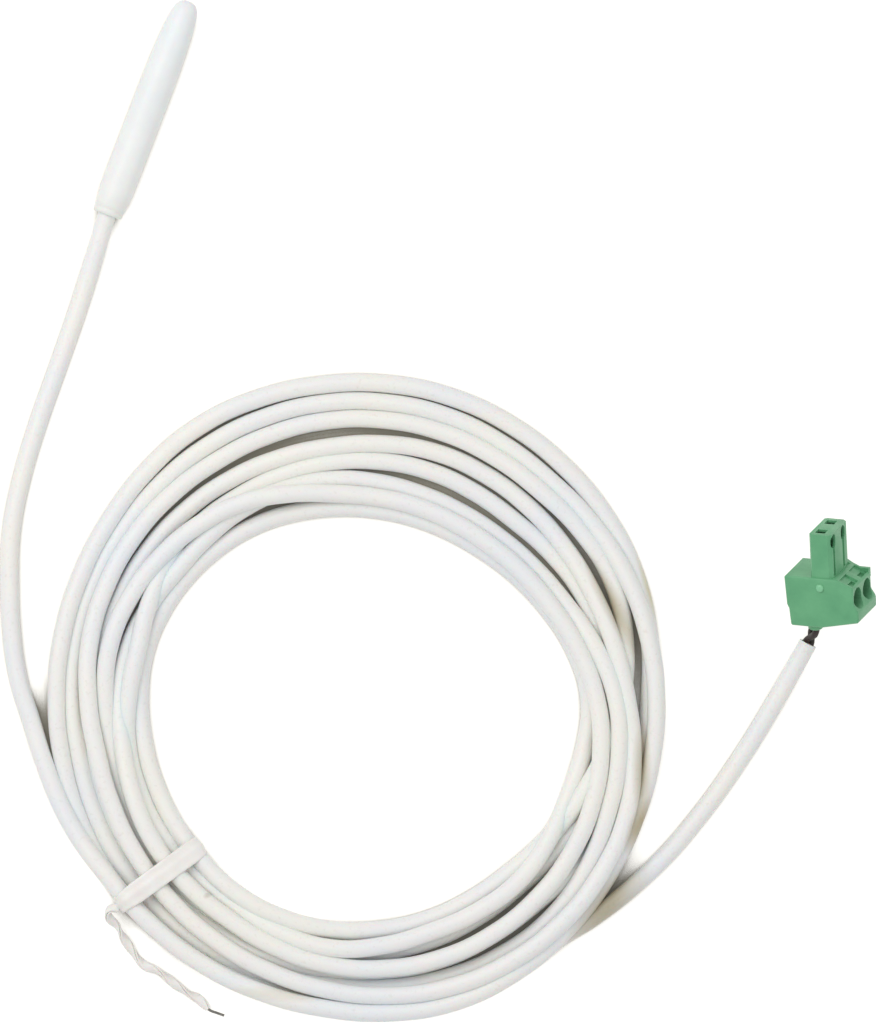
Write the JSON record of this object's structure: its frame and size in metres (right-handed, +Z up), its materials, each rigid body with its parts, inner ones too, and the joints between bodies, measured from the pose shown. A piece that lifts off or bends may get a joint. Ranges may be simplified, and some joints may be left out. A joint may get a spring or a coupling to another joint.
{
  "type": "temperature probe",
  "caption": "Moulded temperature sensor capsule on a long coiled lead held by a twist tie, ending in a small pluggable screw connector.",
  "frame": {"origin": "under the middle of the sensor capsule, on the surface that the probe lies on", "axes": "+Y along the capsule towards its tip, +Z up from the surface"},
  "size_m": [0.168, 0.1804, 0.0179],
  "materials": {
    "capsule_moulding": "satin, slightly translucent off-white moulding",
    "bead_resin": "dipped resin",
    "tinned_copper": "tinned",
    "shrink_sleeve": "shrunk sleeve",
    "black_insulation": "extruded core insulation",
    "lead_jacket": "smooth white jacket with a soft sheen",
    "tie_coating": "coated strip, warm white",
    "tie_steel": "bare annealed wire",
    "bare_copper": "bare stranded copper",
    "green_polyamide": "moulded, fine satin",
    "plated_steel": "zinc plated",
    "tinned_bronze": "tinned spring strip"
  },
  "bodies": {
    "probe_and_lead": {"probe_capsule": "capsule_moulding", "thermistor_bead": "bead_resin", "thermistor_leg_1": "tinned_copper", "thermistor_leg_2": "tinned_copper", "splice_crimp_1": "tinned_copper", "splice_crimp_2": "tinned_copper", "splice_sleeve_1": "shrink_sleeve", "splice_sleeve_2": "shrink_sleeve", "sensor_core_1": "black_insulation", "sensor_core_2": "black_insulation", "lead_to_coil": "lead_jacket", "lead_coil": "lead_jacket", "lead_to_plug": "lead_jacket", "tie_strip": "tie_coating", "tie_wire": "tie_steel", "plug_core_1": "black_insulation", "plug_core_2": "black_insulation", "bare_end_1": "bare_copper", "bare_end_2": "bare_copper", "plug_housing": "green_polyamide", "contact_fork_1": "tinned_bronze", "contact_fork_2": "tinned_bronze"},
    "screw_1": {"clamp_screw_1": "plated_steel"},
    "screw_2": {"clamp_screw_2": "plated_steel"},
    "cage_1": {"clamp_cage_1": "plated_steel"},
    "cage_2": {"clamp_cage_2": "plated_steel"}
  },
  "joints": [
    {"name": "screw_1_turn", "type": "hinge", "parent": "probe_and_lead", "child": "screw_1", "pos_m": [0.1572, -0.0401, 0.01188], "axis": [0.899, 0.2539, 0.3567], "range_deg": [0, 864]},
    {"name": "screw_2_turn", "type": "hinge", "parent": "probe_and_lead", "child": "screw_2", "pos_m": [0.15829, -0.03781, 0.00748], "axis": [0.899, 0.2539, 0.3567], "range_deg": [0, 864]},
    {"name": "cage_1_slide", "type": "slide", "parent": "probe_and_lead", "child": "cage_1", "axis": [0.899, 0.2539, 0.3567], "range_m": [-0.0012, 0]},
    {"name": "cage_2_slide", "type": "slide", "parent": "probe_and_lead", "child": "cage_2", "axis": [0.899, 0.2539, 0.3567], "range_m": [-0.0012, 0]}
  ],
  "couplings": [
    {"joint": "screw_1_turn", "follows": "cage_1_slide", "rad_per_m": -12566},
    {"joint": "screw_2_turn", "follows": "cage_2_slide", "rad_per_m": -12566}
  ]
}
